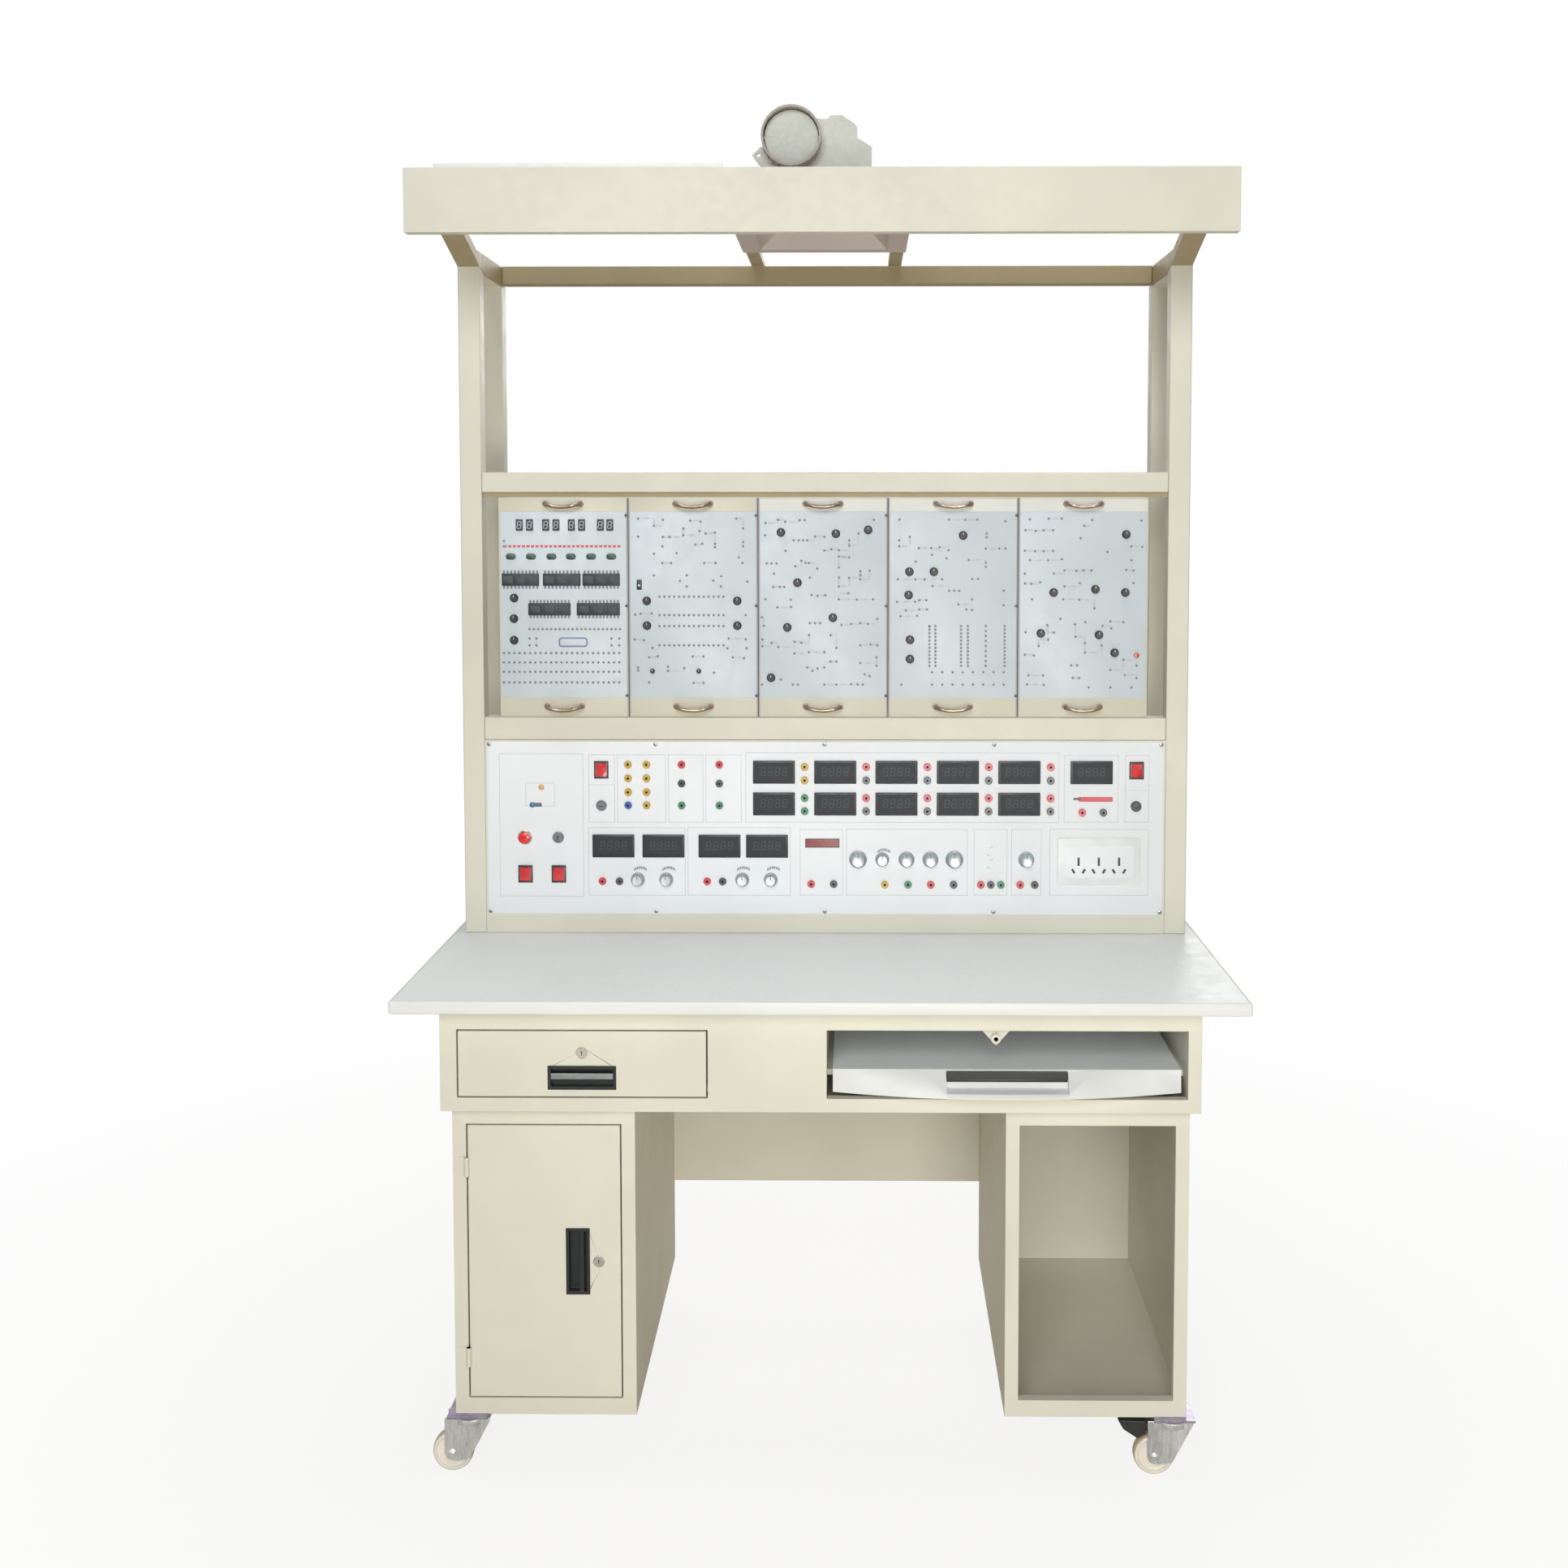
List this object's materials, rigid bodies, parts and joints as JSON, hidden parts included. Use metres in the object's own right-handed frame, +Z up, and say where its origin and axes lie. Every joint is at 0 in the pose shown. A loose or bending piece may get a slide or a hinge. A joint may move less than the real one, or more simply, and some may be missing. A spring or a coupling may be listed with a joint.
{
  "type": "electronics trainer bench",
  "caption": "Wheeled workbench for teaching electronics, with an instrument panel, plug-in circuit boards, drawer, cabinets, keyboard tray, canopy board and fume hood.",
  "frame": {"origin": "on the floor under the middle of the worktop", "axes": "+X to the right as seen by the seated user, +Y to the back, +Z up"},
  "size_m": [1.4, 0.7, 2.3221],
  "materials": {
    "cream_paint": "fine powder coat, satin",
    "worktop_laminate": "pale grey matt laminate, white edge",
    "panel_paint": "white silk, printed",
    "tray_paint": "white satin",
    "module_plastic": "pale grey board, satin",
    "black_plastic": "fine grain",
    "zinc": "bright zinc plate",
    "nylon": "cream nylon",
    "red_plastic": "translucent red, gloss",
    "knob_plastic": "fine grain with a white line",
    "hood_paint": "grey mauve, satin",
    "fan_plastic": "pale grey, satin",
    "lamp_white": "white gloss",
    "tube_glass": "opal tube",
    "nickel": "polished"
  },
  "bodies": {
    "bench": {"worktop": "worktop_laminate", "desk_frame": "cream_paint", "modesty_panel": "cream_paint", "left_cabinet": "cream_paint", "right_cabinet": "cream_paint", "door_hinge_upper": "nickel", "door_hinge_lower": "nickel", "side_frame_left": "cream_paint", "side_frame_right": "cream_paint", "middle_rail": "cream_paint", "upper_rail": "cream_paint", "rear_crossbar": "cream_paint", "fascia": "cream_paint", "lamp_batten": "lamp_white", "lamp_tube": "tube_glass", "extractor_hood": "hood_paint", "blower_housing": "fan_plastic", "blower_motor": "fan_plastic", "instrument_case": "cream_paint", "instrument_panel": "panel_paint"},
    "drawer_unit": {"drawer": "cream_paint", "drawer_pull": "black_plastic"},
    "drawer_lock_body": {"drawer_lock": "nickel"},
    "keyboard_shelf": {"keyboard_tray": "tray_paint", "tray_handle": "black_plastic"},
    "door_unit": {"cabinet_door": "cream_paint", "door_pull": "black_plastic"},
    "door_lock_body": {"door_lock": "nickel"},
    "castor_front_left": {"castor_fork_front_left": "zinc"},
    "wheel_front_left": {"castor_wheel_front_left": "nylon"},
    "castor_rear_left": {"castor_fork_rear_left": "zinc"},
    "wheel_rear_left": {"castor_wheel_rear_left": "nylon"},
    "castor_front_right": {"castor_fork_front_right": "zinc"},
    "wheel_front_right": {"castor_wheel_front_right": "nylon"},
    "castor_rear_right": {"castor_fork_rear_right": "zinc"},
    "wheel_rear_right": {"castor_wheel_rear_right": "nylon"},
    "pedal_front_right": {"brake_pedal_front_right": "black_plastic"},
    "pedal_rear_right": {"brake_pedal_rear_right": "black_plastic"},
    "power_rocker_left_body": {"power_rocker_left": "red_plastic"},
    "power_rocker_right_body": {"power_rocker_right": "red_plastic"},
    "supply_rocker_left_body": {"supply_rocker_left": "red_plastic"},
    "supply_rocker_right_body": {"supply_rocker_right": "red_plastic"},
    "knob_1_body": {"knob_1": "knob_plastic"},
    "knob_2_body": {"knob_2": "knob_plastic"},
    "knob_3_body": {"knob_3": "knob_plastic"},
    "knob_4_body": {"knob_4": "knob_plastic"},
    "knob_5_body": {"knob_5": "knob_plastic"},
    "knob_6_body": {"knob_6": "knob_plastic"},
    "knob_7_body": {"knob_7": "knob_plastic"},
    "knob_8_body": {"knob_8": "knob_plastic"},
    "knob_9_body": {"knob_9": "knob_plastic"},
    "knob_10_body": {"knob_10": "knob_plastic"},
    "module_1_body": {"module_1": "module_plastic"},
    "module_2_body": {"module_2": "module_plastic"},
    "module_3_body": {"module_3": "module_plastic"},
    "module_4_body": {"module_4": "module_plastic"},
    "module_5_body": {"module_5": "module_plastic"},
    "stop_button_body": {"stop_button": "red_plastic"},
    "key_switch_body": {"key_switch": "nickel"},
    "duct_damper_body": {"duct_damper": "fan_plastic"}
  },
  "joints": [
    {"name": "door_hinge", "type": "hinge", "parent": "bench", "child": "door_unit", "pos_m": [-0.5863, -0.3033, 0.3665], "axis": [0, 0, -1], "range_deg": [0, 110]},
    {"name": "door_lock_turn", "type": "hinge", "parent": "door_unit", "child": "door_lock_body", "pos_m": [-0.3682, -0.299, 0.3674], "axis": [0, -1, 0], "range_deg": [0, 90]},
    {"name": "drawer_slide", "type": "slide", "parent": "bench", "child": "drawer_unit", "axis": [0, -1, 0], "range_m": [0, 0.35]},
    {"name": "drawer_lock_turn", "type": "hinge", "parent": "drawer_unit", "child": "drawer_lock_body", "pos_m": [-0.391, -0.317, 0.7258], "axis": [0, -1, 0], "range_deg": [0, 90]},
    {"name": "keyboard_slide", "type": "slide", "parent": "bench", "child": "keyboard_shelf", "axis": [0, -1, 0], "range_m": [0, 0.3]},
    {"name": "castor_front_left_swivel", "type": "hinge", "parent": "bench", "child": "castor_front_left", "pos_m": [-0.589, -0.278, 0.0955], "axis": [0, 0, 1], "continuous": true},
    {"name": "castor_front_left_roll", "type": "hinge", "parent": "castor_front_left", "child": "wheel_front_left", "pos_m": [-0.619, -0.278, 0.034], "axis": [0, 1, 0], "continuous": true},
    {"name": "castor_rear_left_swivel", "type": "hinge", "parent": "bench", "child": "castor_rear_left", "pos_m": [-0.589, 0.288, 0.0955], "axis": [0, 0, 1], "continuous": true},
    {"name": "castor_rear_left_roll", "type": "hinge", "parent": "castor_rear_left", "child": "wheel_rear_left", "pos_m": [-0.619, 0.288, 0.034], "axis": [0, 1, 0], "continuous": true},
    {"name": "castor_front_right_swivel", "type": "hinge", "parent": "bench", "child": "castor_front_right", "pos_m": [0.589, -0.278, 0.0955], "axis": [0, 0, 1], "continuous": true},
    {"name": "castor_front_right_roll", "type": "hinge", "parent": "castor_front_right", "child": "wheel_front_right", "pos_m": [0.559, -0.278, 0.034], "axis": [0, 1, 0], "continuous": true},
    {"name": "brake_front_right_press", "type": "hinge", "parent": "castor_front_right", "child": "pedal_front_right", "pos_m": [0.551, -0.278, 0.0842], "axis": [0, -1, 0], "range_deg": [0, 12]},
    {"name": "castor_rear_right_swivel", "type": "hinge", "parent": "bench", "child": "castor_rear_right", "pos_m": [0.589, 0.288, 0.0955], "axis": [0, 0, 1], "continuous": true},
    {"name": "castor_rear_right_roll", "type": "hinge", "parent": "castor_rear_right", "child": "wheel_rear_right", "pos_m": [0.559, 0.288, 0.034], "axis": [0, 1, 0], "continuous": true},
    {"name": "brake_rear_right_press", "type": "hinge", "parent": "castor_rear_right", "child": "pedal_rear_right", "pos_m": [0.551, 0.288, 0.0842], "axis": [0, -1, 0], "range_deg": [0, 12]},
    {"name": "power_rocker_left_tilt", "type": "hinge", "parent": "bench", "child": "power_rocker_left_body", "pos_m": [-0.5621, 0.1027, 0.9327], "axis": [-1, 0, 0], "range_deg": [0, 14]},
    {"name": "power_rocker_right_tilt", "type": "hinge", "parent": "bench", "child": "power_rocker_right_body", "pos_m": [-0.4994, 0.1027, 0.9327], "axis": [-1, 0, 0], "range_deg": [0, 14]},
    {"name": "supply_rocker_left_tilt", "type": "hinge", "parent": "bench", "child": "supply_rocker_left_body", "pos_m": [-0.418, 0.1027, 1.1298], "axis": [-1, 0, 0], "range_deg": [0, 14]},
    {"name": "supply_rocker_right_tilt", "type": "hinge", "parent": "bench", "child": "supply_rocker_right_body", "pos_m": [0.5824, 0.1027, 1.1298], "axis": [-1, 0, 0], "range_deg": [0, 14]},
    {"name": "knob_1_turn", "type": "hinge", "parent": "bench", "child": "knob_1_body", "pos_m": [-0.3508, 0.1037, 0.9225], "axis": [0, -1, 0], "range_deg": [-150, 150]},
    {"name": "knob_2_turn", "type": "hinge", "parent": "bench", "child": "knob_2_body", "pos_m": [-0.2974, 0.1037, 0.9225], "axis": [0, -1, 0], "range_deg": [-150, 150]},
    {"name": "knob_3_turn", "type": "hinge", "parent": "bench", "child": "knob_3_body", "pos_m": [-0.1546, 0.1037, 0.9225], "axis": [0, -1, 0], "range_deg": [-150, 150]},
    {"name": "knob_4_turn", "type": "hinge", "parent": "bench", "child": "knob_4_body", "pos_m": [-0.1012, 0.1037, 0.9225], "axis": [0, -1, 0], "range_deg": [-150, 150]},
    {"name": "knob_5_turn", "type": "hinge", "parent": "bench", "child": "knob_5_body", "pos_m": [0.0625, 0.1037, 0.9614], "axis": [0, -1, 0], "range_deg": [-150, 150]},
    {"name": "knob_6_turn", "type": "hinge", "parent": "bench", "child": "knob_6_body", "pos_m": [0.108, 0.1037, 0.9614], "axis": [0, -1, 0], "range_deg": [-150, 150]},
    {"name": "knob_7_turn", "type": "hinge", "parent": "bench", "child": "knob_7_body", "pos_m": [0.1534, 0.1037, 0.9614], "axis": [0, -1, 0], "range_deg": [-150, 150]},
    {"name": "knob_8_turn", "type": "hinge", "parent": "bench", "child": "knob_8_body", "pos_m": [0.1981, 0.1037, 0.9614], "axis": [0, -1, 0], "range_deg": [-150, 150]},
    {"name": "knob_9_turn", "type": "hinge", "parent": "bench", "child": "knob_9_body", "pos_m": [0.2431, 0.1037, 0.9614], "axis": [0, -1, 0], "range_deg": [-150, 150]},
    {"name": "knob_10_turn", "type": "hinge", "parent": "bench", "child": "knob_10_body", "pos_m": [0.3776, 0.1037, 0.9614], "axis": [0, -1, 0], "range_deg": [-150, 150]},
    {"name": "stop_button_press", "type": "slide", "parent": "bench", "child": "stop_button_body", "axis": [0, 1, 0], "range_m": [0, 0.004], "stiffness_N_per_m": 400},
    {"name": "key_switch_turn", "type": "hinge", "parent": "bench", "child": "key_switch_body", "pos_m": [-0.4999, 0.1037, 1.0021], "axis": [0, 1, 0], "range_deg": [0, 90]},
    {"name": "duct_damper_turn", "type": "hinge", "parent": "bench", "child": "duct_damper_body", "pos_m": [-0.0555, -0.025, 2.2691], "axis": [1, 0, 0], "range_deg": [0, 90]},
    {"name": "module_1_slide", "type": "slide", "parent": "bench", "child": "module_1_body", "axis": [0, -1, 0], "range_m": [0, 0.065]},
    {"name": "module_2_slide", "type": "slide", "parent": "bench", "child": "module_2_body", "axis": [0, -1, 0], "range_m": [0, 0.065]},
    {"name": "module_3_slide", "type": "slide", "parent": "bench", "child": "module_3_body", "axis": [0, -1, 0], "range_m": [0, 0.065]},
    {"name": "module_4_slide", "type": "slide", "parent": "bench", "child": "module_4_body", "axis": [0, -1, 0], "range_m": [0, 0.065]},
    {"name": "module_5_slide", "type": "slide", "parent": "bench", "child": "module_5_body", "axis": [0, -1, 0], "range_m": [0, 0.065]}
  ]
}
